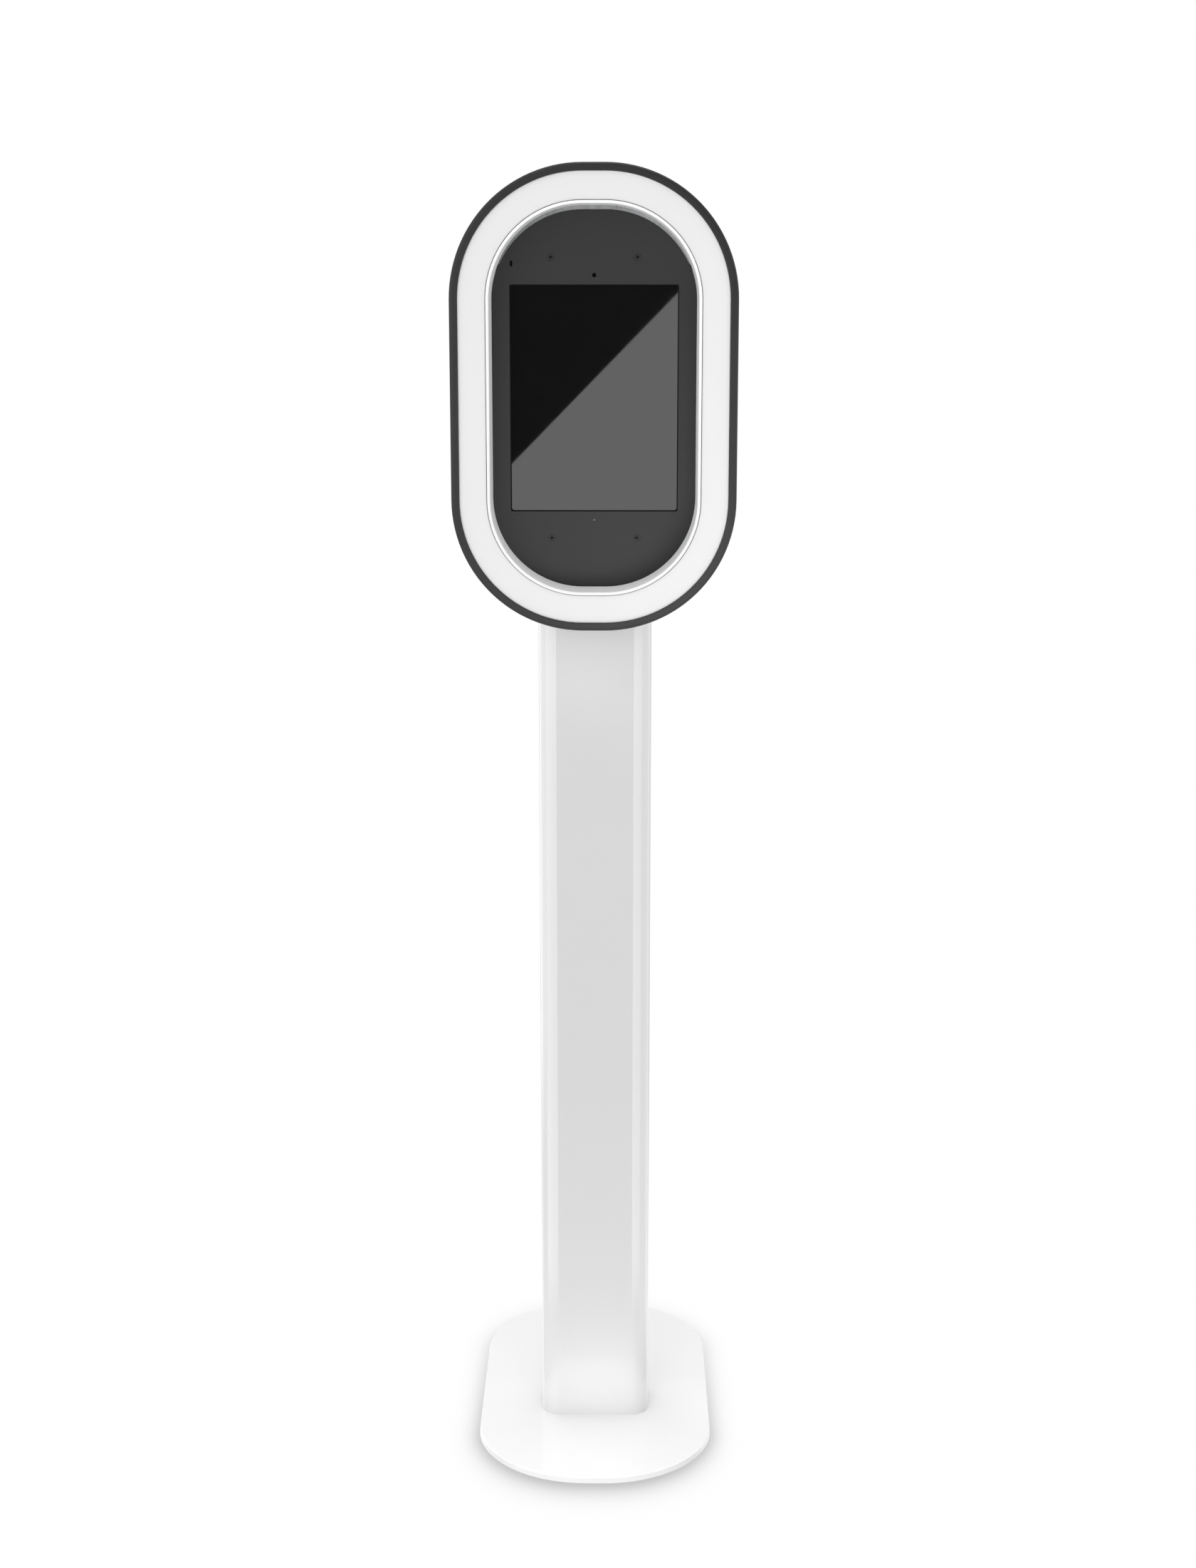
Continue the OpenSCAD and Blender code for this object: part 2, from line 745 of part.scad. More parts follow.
module face_plate() {
    color([0.2, 0.2, 0.2]) difference() {
        slab(recess, plate_back) difference() {
            translate([0, (plate_top_z + plate_bottom) / 2]) rounded(plate_w, plate_h, plate_r);
            rounded(window_w, window_h, window_r);
            translate([0, sensor_z]) circle(2.5);
            translate([0, -sensor_z]) circle(1.65);
            translate([slot_x, slot_z]) rounded(3, 7, 1.5 - eps);
        }
        for (sx = [-1, 1], sz = [-1, 1]) {
            head_rod(sx * screw_x, sz * screw_z, 2.2, recess - 1, plate_back + 1);
            in_head() translate([sx * screw_x, sz * screw_z, -recess - 2.2])
                cylinder(r1 = 2.2, r2 = 4.4, h = 2.2 + eps);
        }
    }
}

module face_screws() {
    color([0.2, 0.2, 0.2]) for (sx = [-1, 1], sz = [-1, 1])
        in_head() translate([sx * screw_x, sz * screw_z, -recess])
            rotate([0, 0, sx > 0 && sz > 0 ? 28 : 0]) flat_screw(4, 1.95, 9, 5);
}

module face_nuts() {
    color("silver") for (sx = [-1, 1], sz = [-1, 1]) difference() {
        union() {
            head_rod(sx * screw_x, sz * screw_z, 4, plate_back + 0.1, chassis_back + 3);
            head_rod(sx * screw_x, sz * screw_z, 5.5, chassis_back, chassis_back + 3);
        }
        head_rod(sx * screw_x, sz * screw_z, 2, plate_back, chassis_back + 4);
    }
}

// the gasket shows as a black line inside the window
gasket_edge = 1.2;
module display_gasket() {
    color("black") slab(plate_back, glass_depth) difference() {
        rounded(216, 300, 5);
        rounded(window_w - 2 * gasket_edge, window_h - 2 * gasket_edge, 3);
        for (sz = [-1, 1]) translate([0, sz * sensor_z]) circle(7);
    }
}

// ---- tablet ----

home_r = 5.5;
button_gap = 0.3;
side_wall = 0.9;
body_front = glass_depth + glass_t;
button_depth = body_front + 2.8;
button_h = 2;

module tablet_glass() {
    color("black") slab(glass_depth, body_front) difference() {
        rounded(tablet_w - 0.6, tablet_h - 0.6, 9.7);
        translate([0, -sensor_z]) circle(home_r + button_gap);
    }
}

module tablet_display() {
    color([0.1, 0.1, 0.1]) slab(body_front, body_front + 2) rounded(window_w + 6, window_h + 2.8, 3);
}

// opening in a side wall for a button of the given length
module button_slot(x, z, w, h) {
    head_block(x, z, w, h, button_depth - button_h / 2 - button_gap, button_depth + button_h / 2 + button_gap);
}

sleep_x = 88;
volume_z = [108, 92];
button_l = 11;
module tablet_body() {
    color("silver") difference() {
        slab(body_front, tablet_back) rounded(tablet_w, tablet_h, 10);
        slab(body_front - 1, tablet_back - side_wall)
            rounded(tablet_w - 2 * side_wall, tablet_h - 2 * side_wall, 10 - side_wall);
        button_slot(sleep_x, tablet_h / 2, button_l + 2 * button_gap, 4);
        for (z = volume_z) button_slot(tablet_w / 2, z, 4, button_l + 2 * button_gap);
        head_block(0, -tablet_h / 2, 9, 4, body_front + 1.6, body_front + 4.4);
    }
}

module tablet_battery() {
    color("dimgray") slab(body_front + 2.2, tablet_back - side_wall - 0.2)
        translate([0, -18]) square([188, 190], center = true);
}

module tablet_board() {
    color("darkgreen") {
        head_block(0, 108, 180, 44, body_front + 2.3, body_front + 3.1);
        for (x = [-50, -10, 30]) head_block(x, 108, 24, 20, body_front + 3.1 - eps, body_front + 4.3);
    }
}

module tablet_camera() {
    color("black") difference() {
        head_rod(0, sensor_z, 4, body_front, body_front + 4);
        head_rod(0, sensor_z, 1.6, body_front - 1, body_front + 1.2);
    }
}

module home_button() {
    color("black") head_rod(0, -sensor_z, home_r, glass_depth + 0.1, body_front + 1.2);
}

// button that stands out of the tablet's edge, with a flange inside the wall
module edge_button(x, z, along_x) {
    front = button_depth - button_h / 2;
    back = button_depth + button_h / 2;
    out = 0.7;
    flange = 0.6;
    inner_gap = 0.2;
    w = along_x ? button_l : out + side_wall + inner_gap + flange;
    h = along_x ? out + side_wall + inner_gap + flange : button_l;
    shift = (side_wall + inner_gap + flange - out) / 2;
    head_block(x - (along_x ? 0 : shift), z - (along_x ? shift : 0), w, h, front, back);
    flange_at = side_wall + inner_gap + flange / 2;
    head_block(x - (along_x ? 0 : flange_at), z - (along_x ? flange_at : 0),
               along_x ? button_l + 2 : flange, along_x ? flange : button_l + 2, front, back);
}

module sleep_button() {
    color("silver") edge_button(sleep_x, tablet_h / 2, true);
}

module volume_up() {
    color("silver") edge_button(tablet_w / 2, volume_z[0], false);
}

module volume_down() {
    color("silver") edge_button(tablet_w / 2, volume_z[1], false);
}

module tablet_pads() {
    color("black") for (sx = [-1, 1], sz = [-1, 1])
        head_block(sx * 75, sz * 110, 40, 40, tablet_back, tray_depth);
}

module tablet_tray() {
    color("lightgray") slab(tray_depth, tray_back) difference() {
        rounded(248, 316, 6);
        for (sx = [-1, 1], sz = [-1, 1]) translate([sx * spacer_x, sz * spacer_z]) circle(1.7);
        for (row = [-3:3]) translate([row * 26, 0]) rounded(10, 90, 4.9);
    }
}

module tray_spacers() {
    color("silver") for (sx = [-1, 1], sz = [-1, 1]) difference() {
        head_rod(sx * spacer_x, sz * spacer_z, 3.5, chassis_back, tray_depth);
        head_rod(sx * spacer_x, sz * spacer_z, 1.6, chassis_back - 1, tray_depth + 1);
    }
}

module tray_screws() {
    color("silver") for (sx = [-1, 1], sz = [-1, 1]) {
        head_rod(sx * spacer_x, sz * spacer_z, 3, tray_back, tray_back + 2);
        head_rod(sx * spacer_x, sz * spacer_z, 1.5, chassis_depth, tray_back + 1);
    }
}

// ---- electronics behind the tray ----

driver_x = -46;
driver_z = -105;
driver_h = 46;
module light_driver() {
    color("gray") {
        head_block(driver_x, driver_z, 96, driver_h, tray_back, tray_back + 18);
        for (side = [-1, 1]) head_block(driver_x + side * 54, driver_z, 12, 30, tray_back, tray_back + 2);
    }
}

charge_x = 62;
charge_z = -105;
module charge_board() {
    color("darkgreen") {
        head_block(charge_x, charge_z, 72, 56, tray_back + 4, tray_back + 5.6);
        for (sx = [-1, 1], sz = [-1, 1])
            head_rod(charge_x + sx * 31, charge_z + sz * 23, 2.5, tray_back, tray_back + 4 + eps);
        head_block(charge_x - 12, charge_z + 6, 22, 18, tray_back + 5.6 - eps, tray_back + 15);
        head_block(charge_x + 20, charge_z - 20, 15, 14, tray_back + 5.6 - eps, tray_back + 12);
    }
}

lead_depth = tray_back + 14;
// lead from the tilt axis into the head and down to the light driver
module head_lead() {
    bend = 12;
    in_head() {
        translate([0, 0, -axis_depth + 3.3]) sphere(lead_r);
        translate([0, 0, -axis_depth + 3.3]) cylinder(r = lead_r, h = axis_depth - 3.3 - lead_depth - bend);
        translate([0, -bend, -lead_depth - bend]) rotate([90, 0, 90])
            rotate_extrude(angle = 90) translate([bend, 0]) circle(lead_r);
        translate([0, -bend, -lead_depth]) rotate([90, 0, 0])
            cylinder(r = lead_r, h = -bend - driver_z - driver_h / 2);
    }
}

// flat lead from the charging board round the tray's lower edge to the tablet's port
module tablet_lead() {
    front = body_front + 2;
    back = tray_back + 9;
    color("white") {
        head_block(0, -tablet_h / 2 - 6, 8, 11, front, front + 2);
        head_block(0, -tablet_h / 2 - 10.5, 8, 2, front, back);
        head_block(charge_x / 4, -tablet_h / 2 - 10.5, charge_x / 2 + 8, 2, back - 6, back);
        head_block(charge_x / 2 + 6, (-tablet_h / 2 - 10.5 + charge_z - 28) / 2, 6,
                   tablet_h / 2 + 11.5 + charge_z - 28 - 0.2, back - 2, back);
    }
}

base_plate();
base_mat();
foot_block();
foot_bolts();
post_tube();
post_cap();
post_grommet();
inlet_panel();
inlet_screws();
power_inlet();
inlet_pins();
switch_frame();
power_rocker();
power_supply();
supply_bracket();
mains_lead();
supply_lead();
tilt_bracket();
bracket_bolts();
bracket_nuts();
tilt_pins();
tilt_nuts();
friction_washers();
tilt_plate();
tilt_plate_bolts();
front_frame();
rear_cover();
cover_screws();
cover_grommet();
diffuser_ring();
inner_bezel();
reflector_tray();
light_board();
light_chips();
chassis_plate();
face_plate();
face_screws();
face_nuts();
display_gasket();
tablet_glass();
tablet_display();
tablet_body();
tablet_battery();
tablet_board();
tablet_camera();
home_button();
sleep_button();
volume_up();
volume_down();
tablet_pads();
tablet_tray();
tray_spacers();
tray_screws();
light_driver();
charge_board();
head_lead();
tablet_lead();
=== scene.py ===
"""Looks of the touchscreen kiosk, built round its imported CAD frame.

Metres, +Z up, the front faces -Y.
"""

import json
import math

import bmesh
import bpy
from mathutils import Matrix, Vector


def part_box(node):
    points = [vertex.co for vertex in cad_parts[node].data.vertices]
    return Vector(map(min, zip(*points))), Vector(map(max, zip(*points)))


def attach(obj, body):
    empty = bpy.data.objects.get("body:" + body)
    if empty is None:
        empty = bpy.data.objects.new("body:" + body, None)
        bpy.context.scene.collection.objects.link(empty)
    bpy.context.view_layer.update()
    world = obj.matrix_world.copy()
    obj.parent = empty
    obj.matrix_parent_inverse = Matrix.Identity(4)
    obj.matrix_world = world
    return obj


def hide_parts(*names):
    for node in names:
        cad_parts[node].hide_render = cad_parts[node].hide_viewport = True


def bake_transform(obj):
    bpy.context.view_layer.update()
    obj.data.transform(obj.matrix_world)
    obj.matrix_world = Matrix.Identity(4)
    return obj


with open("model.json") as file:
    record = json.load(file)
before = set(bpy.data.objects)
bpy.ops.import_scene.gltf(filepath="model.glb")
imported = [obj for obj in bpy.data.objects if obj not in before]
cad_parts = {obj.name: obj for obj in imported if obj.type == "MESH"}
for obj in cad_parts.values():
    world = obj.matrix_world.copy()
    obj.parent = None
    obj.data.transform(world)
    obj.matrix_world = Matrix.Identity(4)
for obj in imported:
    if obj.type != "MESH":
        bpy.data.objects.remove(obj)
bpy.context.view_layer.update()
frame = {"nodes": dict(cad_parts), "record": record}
NODES = frame["nodes"]
scene = bpy.context.scene
MM = 0.001

# ---- colours, linear ----
WHITE_GLOSS = (0.80, 0.80, 0.80)
WHITE_PLASTIC = (0.92, 0.92, 0.92)
OPAL = (0.86, 0.86, 0.86)
CHARCOAL = (0.021, 0.021, 0.0216)
CHARCOAL_PLATE = (0.022, 0.022, 0.0223)
# painted shade for the insides of recesses and holes
PAINTED_RECESS_SHADE = (0.011, 0.011, 0.011, 1)
PURE_WHITE = (1, 1, 1, 1)

# ---- light: radiance for the floor, the world and the card, watts for the lamps ----
LIGHT = {
    "floor": 1.0,
    "head_low": 0.88,
    "dark_low": 3.6,
    "neck": 0.09,
    "foot": 0.042,
    "base_front": 1.2,
    "base_top": 6.4,
    "back": 0.6,
    "below": 0.4,
    "zenith": 1.7,
    "left_front": 1.45,
    "right_side": 0.85,
    "right_low": 1.6,
    "left_side": 0.75,
    "front_dark": 0.08,
    "key": 7.5,
    "bezel": 4.0,
    "card": 3.0,
}
# the world's bright panels: azimuth from and to, measured from the front towards +X,
# elevation from and to, and the width of the soft edge, all in degrees
PANELS = {
    "zenith": (-180, 180, 55, 90, 14),
    "left_front": (-77, -7, -24.5, 40, 2),
    "left_side": (-150, -80, -20, 50, 4),
    "right_side": (52, 133, -25.5, 45, 2),
    "right_low": (9, 54, -24.5, -5.5, 2),
    "below": (-180, 180, -90, -22, 8),
}


# ---- procedural materials ----
SURFACE_IOR = 1.5
COAT_ROUGHNESS = 0.03


def node(tree, kind, **settings):
    """A new shader node, with each setting put on its socket or its property."""
    made = tree.nodes.new(kind)
    for key, value in settings.items():
        if key in made.inputs:
            made.inputs[key].default_value = value
        else:
            setattr(made, key, value)
    return made


def ramp(tree, source, low, high, from_low=0.3, from_high=0.7):
    """A value that runs from low to high as the source runs over its middle range."""
    made = node(tree, "ShaderNodeMapRange")
    made.inputs["From Min"].default_value = from_low
    made.inputs["From Max"].default_value = from_high
    made.inputs["To Min"].default_value = low
    made.inputs["To Max"].default_value = high
    tree.links.new(source, made.inputs["Value"])
    return made.outputs["Result"]


def noise(tree, coords, scale, detail=3.0, rough=0.5, stretch=None):
    """Noise over the object, in features per metre, stretched along an axis if asked."""
    if stretch is not None:
        mapping = node(tree, "ShaderNodeMapping")
        mapping.inputs["Scale"].default_value = stretch
        tree.links.new(coords, mapping.inputs["Vector"])
        coords = mapping.outputs["Vector"]
    made = node(tree, "ShaderNodeTexNoise", Scale=scale, Detail=detail, Roughness=rough)
    tree.links.new(coords, made.inputs["Vector"])
    return made.outputs["Fac"]


def surface(name, colour, roughness, metallic=0.0, coat=0.0, specular=0.5, grain=900.0,
            grain_shade=0.03, grain_height=0.02, cloud=9.0, cloud_shade=0.02, rough_vary=0.05,
            stretch=None):
    """A surface with a fine grain in colour and height, a broad uneven tone, and a roughness
    that varies with both. Grain and cloud are in features per metre, grain_height in mm."""
    made = bpy.data.materials.new(name)
    made.use_nodes = True
    tree = made.node_tree
    shader = tree.nodes["Principled BSDF"]
    shader.inputs["Metallic"].default_value = metallic
    shader.inputs["IOR"].default_value = SURFACE_IOR
    shader.inputs["Specular IOR Level"].default_value = specular
    shader.inputs["Coat Weight"].default_value = coat
    shader.inputs["Coat Roughness"].default_value = COAT_ROUGHNESS
    coords = node(tree, "ShaderNodeTexCoord").outputs["Object"]
    fine = noise(tree, coords, grain, 4.0, 0.6, stretch)
    broad = noise(tree, coords, cloud, 3.0, 0.5)
    tone = node(tree, "ShaderNodeMath", operation="MULTIPLY")
    tree.links.new(ramp(tree, fine, 1 - grain_shade, 1 + grain_shade), tone.inputs[0])
    tree.links.new(ramp(tree, broad, 1 - cloud_shade, 1 + cloud_shade), tone.inputs[1])
    tint = node(tree, "ShaderNodeVectorMath", operation="SCALE")
    tint.inputs[0].default_value = colour
    tree.links.new(tone.outputs[0], tint.inputs["Scale"])
    tree.links.new(tint.outputs[0], shader.inputs["Base Color"])
    mixed = node(tree, "ShaderNodeMath", operation="ADD")
    tree.links.new(fine, mixed.inputs[0])
    tree.links.new(broad, mixed.inputs[1])
    # the sum of two noises has its middle range at 0.7 to 1.3
    varied = ramp(tree, mixed.outputs[0], max(0.0, roughness - rough_vary),
                  roughness + rough_vary, 0.7, 1.3)
    tree.links.new(varied, shader.inputs["Roughness"])
    bump = node(tree, "ShaderNodeBump", Strength=1.0, Distance=grain_height * MM)
    tree.links.new(fine, bump.inputs["Height"])
    tree.links.new(bump.outputs["Normal"], shader.inputs["Normal"])
    return made


# each slot of the record has one finish
FINISHES = {
    "gloss_white": dict(colour=WHITE_GLOSS, roughness=0.03, coat=0.7, grain=260,
         grain_shade=0.004, grain_height=0.0015, cloud_shade=0.006, rough_vary=0.006),
    "white_plastic": dict(colour=WHITE_PLASTIC, roughness=0.42, specular=0.22, grain=1500,
         grain_shade=0.01, grain_height=0.008, cloud_shade=0.008),
    "opal_diffuser": dict(colour=OPAL, roughness=0.5, grain=1100, grain_shade=0.012,
         grain_height=0.02, cloud=5, cloud_shade=0.006, rough_vary=0.08),
    "charcoal_shell": dict(colour=CHARCOAL, roughness=0.42, specular=0.28, grain=1300,
         grain_shade=0.06, grain_height=0.02, cloud=7, cloud_shade=0.03),
    "charcoal_plate": dict(colour=CHARCOAL_PLATE, roughness=0.5, specular=0.3, grain=800,
         grain_shade=0.07, grain_height=0.03, cloud=6, cloud_shade=0.03, rough_vary=0.06),
    "screen_glass": dict(colour=(0.004, 0.004, 0.0045), roughness=0.015, grain=60,
         grain_shade=0.1, grain_height=0.0, cloud=14, cloud_shade=0.1, rough_vary=0.004),
    "display_black": dict(colour=(0.006, 0.006, 0.007), roughness=0.2, grain=2500,
         grain_shade=0.2, grain_height=0.005),
    "black_rubber": dict(colour=(0.009, 0.009, 0.009), roughness=0.8, specular=0.2, grain=1400,
         grain_shade=0.15, grain_height=0.06, rough_vary=0.1),
    "black_plastic": dict(colour=(0.022, 0.022, 0.023), roughness=0.45, grain=1500,
         grain_shade=0.08, grain_height=0.02),
    "black_gloss": dict(colour=(0.012, 0.012, 0.013), roughness=0.12, coat=0.4, grain=500,
         grain_shade=0.05, grain_height=0.004),
    "black_steel": dict(colour=(0.03, 0.03, 0.031), roughness=0.38, metallic=0.6, grain=1200,
         grain_shade=0.12, grain_height=0.015),
    "black_paint": dict(colour=(0.028, 0.028, 0.029), roughness=0.4, grain=900, grain_shade=0.08,
         grain_height=0.03),
    "zinc_steel": dict(colour=(0.55, 0.56, 0.57), roughness=0.36, metallic=1.0, grain=260,
         grain_shade=0.12, grain_height=0.01, cloud=40, cloud_shade=0.08, rough_vary=0.1),
    "bright_steel": dict(colour=(0.66, 0.66, 0.67), roughness=0.22, metallic=1.0, grain=900,
         grain_shade=0.08, grain_height=0.006, stretch=(1, 1, 14), rough_vary=0.08),
    "brass": dict(colour=(0.7, 0.5, 0.22), roughness=0.3, metallic=1.0, grain=900,
         grain_shade=0.1, grain_height=0.008, rough_vary=0.1),
    "aluminium": dict(colour=(0.62, 0.63, 0.64), roughness=0.34, metallic=1.0, grain=2600,
         grain_shade=0.05, grain_height=0.008),
    "dark_grey_plastic": dict(colour=(0.07, 0.07, 0.073), roughness=0.5, grain=1200,
         grain_shade=0.08, grain_height=0.03),
    "cable": dict(colour=(0.03, 0.03, 0.031), roughness=0.5, grain=900, grain_shade=0.1,
         grain_height=0.03),
    "circuit_board": dict(colour=(0.012, 0.1, 0.045), roughness=0.35, coat=0.3, grain=420,
         grain_shade=0.35, grain_height=0.02),
    "white_board": dict(colour=(0.78, 0.78, 0.76), roughness=0.35, grain=700, grain_shade=0.05),
    "light_chip": dict(colour=(0.85, 0.7, 0.18), roughness=0.3, grain=2000, grain_shade=0.1),
}
MATERIALS = {name: surface(name, **finish) for name, finish in FINISHES.items()}

# ---- every CAD node takes the finish of its slot in the record ----
for row in frame["record"]["subparts"]:
    obj = NODES[row["node"]]
    obj.data.materials.clear()
    obj.data.materials.append(MATERIALS[row["material_slot"]])


RECESS_EDGE = 0.05 * MM
ABOVE_EDGE = 1 * MM


def paint_recess_shade(name, depth, above=None):
    """Gives a node its own finish with painted shade: dark and matt on surfaces set back from its
    front, where shade falls inside a hole or a recess, and only above a height if one is given."""
    mesh = NODES[name].data
    front = min(v.co.y for v in mesh.vertices)
    made = mesh.materials[0].copy()
    made.name = name + "_painted_recess_shade"
    mesh.materials[0] = made
    tree = made.node_tree
    shader = tree.nodes["Principled BSDF"]
    split = node(tree, "ShaderNodeSeparateXYZ")
    tree.links.new(node(tree, "ShaderNodeTexCoord").outputs["Object"], split.inputs[0])
    inside = ramp(tree, split.outputs["Y"], 0.0, 1.0, front + depth,
                  front + depth + RECESS_EDGE)
    if above is not None:
        higher = node(tree, "ShaderNodeMath", operation="MULTIPLY")
        tree.links.new(inside, higher.inputs[0])
        limit = ramp(tree, split.outputs["Z"], 0.0, 1.0, above, above + ABOVE_EDGE)
        tree.links.new(limit, higher.inputs[1])
        inside = higher.outputs[0]
    # painted shade: black diffuse on the surfaces that lie deeper than the front
    dark = node(tree, "ShaderNodeBsdfDiffuse", Color=PAINTED_RECESS_SHADE)
    mix = node(tree, "ShaderNodeMixShader")
    tree.links.new(inside, mix.inputs[0])
    tree.links.new(shader.outputs[0], mix.inputs[1])
    tree.links.new(dark.outputs[0], mix.inputs[2])
    tree.links.new(mix.outputs[0], tree.nodes["Material Output"].inputs["Surface"])


# ---- mesh helpers ----
WELD_DISTANCE = 0.002 * MM
FLAT_ANGLE = math.radians(0.5)
EDGE_ANGLE = math.radians(35)
EDGE_SEGMENTS = 2
NORMAL_WEIGHT = 100


def soften(name, width):
    """Rounds a CAD node's sharp edges by a small width in mm, as moulding or deburring does.
    It is all in modifiers, so the node's own mesh stays as it is."""
    obj = NODES[name]
    weld = obj.modifiers.new("weld", "WELD")
    weld.merge_threshold = WELD_DISTANCE
    flat = obj.modifiers.new("flat", "DECIMATE")
    flat.decimate_type = "DISSOLVE"
    flat.angle_limit = FLAT_ANGLE
    bevel = obj.modifiers.new("edges", "BEVEL")
    bevel.limit_method = "ANGLE"
    bevel.angle_limit = EDGE_ANGLE
    bevel.width = width * MM
    bevel.segments = EDGE_SEGMENTS
    normals = obj.modifiers.new("normals", "WEIGHTED_NORMAL")
    normals.weight = NORMAL_WEIGHT


def piece(name, verts, faces, body, slot, smooth=True):
    """A new piece that takes its finish from a slot and rides on a body, if one is named."""
    mesh = bpy.data.meshes.new(name)
    mesh.from_pydata([tuple(v) for v in verts], [], faces)
    mesh.validate()
    bm = bmesh.new()
    bm.from_mesh(mesh)
    bmesh.ops.recalc_face_normals(bm, faces=bm.faces)
    bm.to_mesh(mesh)
    bm.free()
    for face in mesh.polygons:
        face.use_smooth = smooth
    mesh.materials.append(MATERIALS[slot])
    obj = bpy.data.objects.new(name, mesh)
    scene.collection.objects.link(obj)
    if body:
        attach(obj, body)
    return obj


def outline(width, height, radius, steps):
    """Points of a rounded rectangle, anticlockwise from the right, with steps to a corner."""
    points = []
    for quarter, (sx, sz) in enumerate(((1, 1), (-1, 1), (-1, -1), (1, -1))):
        for i in range(steps + 1):
            a = math.radians(90 * (quarter + i / steps))
            points.append((sx * (width / 2 - radius) + radius * math.cos(a),
                           sz * (height / 2 - radius) + radius * math.sin(a)))
    return points


def loop_faces(rings, count):
    """Quads between closed rings of points, the last ring joined to the first."""
    faces = []
    for r in range(rings):
        after = (r + 1) % rings
        for i in range(count):
            j = (i + 1) % count
            faces.append((r * count + i, r * count + j, after * count + j, after * count + i))
    return faces


def head_band(name, section, body, slot):
    """A closed section, as (inset, depth) pairs, carried round the head's outline."""
    verts = []
    for inset, depth in section:
        width, height = HEAD_W - 2 * inset, HEAD_H - 2 * inset
        for x, z in outline(width, height, HEAD_R - inset, BAND_STEPS):
            verts.append((x, FRONT_Y + depth, HEAD_Z + z))
    count = len(verts) // len(section)
    return piece(name, verts, loop_faces(len(section), count), body, slot)


TUBE_SIDES = 20


def tube(path, radius, sides=TUBE_SIDES):
    """Rings of points along a path, each turned as little as possible from the one before,
    with closed ends."""
    verts, faces = [], []
    side = Vector((1, 0, 0))
    for i, point in enumerate(path):
        ahead = (path[min(i + 1, len(path) - 1)] - path[max(i - 1, 0)]).normalized()
        side = (side - ahead * side.dot(ahead)).normalized()
        up = ahead.cross(side)
        for k in range(sides):
            a = 2 * math.pi * k / sides
            verts.append(point + side * (radius * math.cos(a)) + up * (radius * math.sin(a)))
    for i in range(len(path) - 1):
        for k in range(sides):
            j = (k + 1) % sides
            faces.append((i * sides + k, i * sides + j,
                          (i + 1) * sides + j, (i + 1) * sides + k))
    faces.append(tuple(range(sides))[::-1])
    faces.append(tuple((len(path) - 1) * sides + k for k in range(sides)))
    return verts, faces


ARC_STEPS = 12
COARSE = 4  # how many times further apart the points lie on a run that leads to an arc


def rounded_path(corners, radii, spacing):
    """Points of straight runs joined by square corners that are rounded to the radii."""
    points = [Vector(corners[0])]
    for i in range(1, len(corners) - 1):
        before, at, after = (Vector(c) for c in corners[i - 1:i + 2])
        d0, d1 = (at - before).normalized(), (after - at).normalized()
        r = radii[i - 1]
        start, end = at - d0 * r, at + d1 * r
        centre = start + d1 * r
        run = start - points[-1]
        steps = max(1, int(run.length / (COARSE * spacing)))
        points += [points[-1] + run * (k / steps) for k in range(1, steps + 1)]
        for k in range(1, ARC_STEPS + 1):
            a = math.pi / 2 * k / ARC_STEPS
            points.append(centre - d1 * (r * math.cos(a)) + d0 * (r * math.sin(a)))
        points[-1] = end
    run = Vector(corners[-1]) - points[-1]
    steps = max(1, int(run.length / spacing))
    points += [points[-1] + run * (k / steps) for k in range(1, steps + 1)]
    return points


# ---- the head's measures ----
frame_low, frame_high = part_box("front_frame")
FRONT_Y = frame_low.y
HEAD_W, HEAD_H = frame_high.x - frame_low.x, frame_high.z - frame_low.z
HEAD_Z = (frame_low.z + frame_high.z) / 2
HEAD_R = 0.1522  # corner radius of the outline
BAND_STEPS = 40
LIP_INSET = 0.0418  # from the outline in to the lip's outer edge

# widths of the softened edges, in mm
EDGE_WIDTHS = {
    "diffuser_ring": 0.7, "tablet_glass": 0.2, "home_button": 0.3, "inlet_panel": 0.4,
    "switch_frame": 0.4, "power_inlet": 0.3, "power_rocker": 0.5, "tilt_bracket": 0.5,
    "tilt_plate": 0.5, "tablet_body": 0.6, "light_driver": 0.8, "power_supply": 1.0,
    "supply_bracket": 0.3, "chassis_plate": 0.2, "tablet_tray": 0.3, "bracket_bolts": 0.5,
    "tilt_pins": 0.6, "tilt_plate_bolts": 0.4, "inlet_screws": 0.3, "foot_block": 0.5,
    "tilt_nuts": 0.4,
}
for name, width in EDGE_WIDTHS.items():
    soften(name, width)

# painted shade: the screws' recesses and the holes over the screen are painted black, where the
# shade falls
SCREW_RECESS = 0.08 * MM
PLATE_RECESS = 0.15 * MM
OVER_SCREEN = 0.135  # from the head's centre, over the window's upper edge
paint_recess_shade("face_screws", SCREW_RECESS)
paint_recess_shade("face_plate", PLATE_RECESS, above=HEAD_Z + OVER_SCREEN)

# one flexible lead through the tilt joint, from the supply in the post to the driver in the head
lead_low, lead_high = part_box("supply_lead")
tail_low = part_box("head_lead")[0]
LEAD_R = (lead_high.x - lead_low.x) / 2
rise_y, run_z = lead_high.y - LEAD_R, lead_high.z - LEAD_R
drop_y = tail_low.y + LEAD_R
POST_BEND, HEAD_BEND, LEAD_SPACING = 0.014, 0.012, 0.002
path = rounded_path([(0, rise_y, lead_low.z), (0, rise_y, run_z), (0, drop_y, run_z),
                     (0, drop_y, tail_low.z)], [POST_BEND, HEAD_BEND], LEAD_SPACING)
verts, faces = tube(path, LEAD_R)
lead = piece("flex_lead", verts, faces, None, "cable")
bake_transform(lead)
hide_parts("supply_lead", "head_lead")
